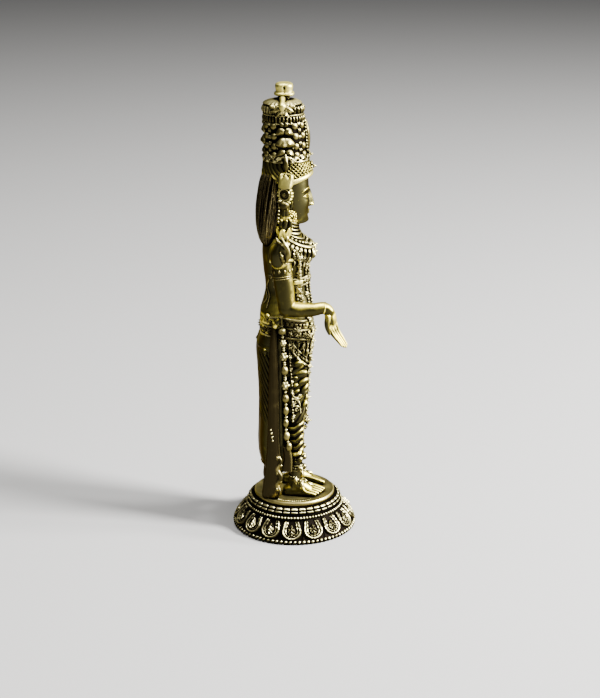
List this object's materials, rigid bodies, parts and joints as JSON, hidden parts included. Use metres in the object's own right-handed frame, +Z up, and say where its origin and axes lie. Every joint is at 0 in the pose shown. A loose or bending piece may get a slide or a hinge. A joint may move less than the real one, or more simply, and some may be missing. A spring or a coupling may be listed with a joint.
{
  "type": "vishnu figure on a lotus plinth",
  "caption": "Small cast-brass standing four-armed Vishnu with tall crown, disc, conch and garlands, on a round plinth of hanging lotus petals.",
  "frame": {"origin": "middle of the plinth's underside", "axes": "+Z up, the figure faces -Y, its right hand is on the -X side"},
  "size_m": [0.0252, 0.0252, 0.09],
  "materials": {
    "antique_brass_figure": "satin, rubbed bright on the high points, with dark brown patina in the recesses",
    "antique_brass_plinth": "satin, rubbed bright on rims and beads, with dark brown patina in the recesses"
  },
  "bodies": {
    "root": {"vishnu_figure": "antique_brass_figure", "lotus_plinth": "antique_brass_plinth"}
  },
  "joints": []
}
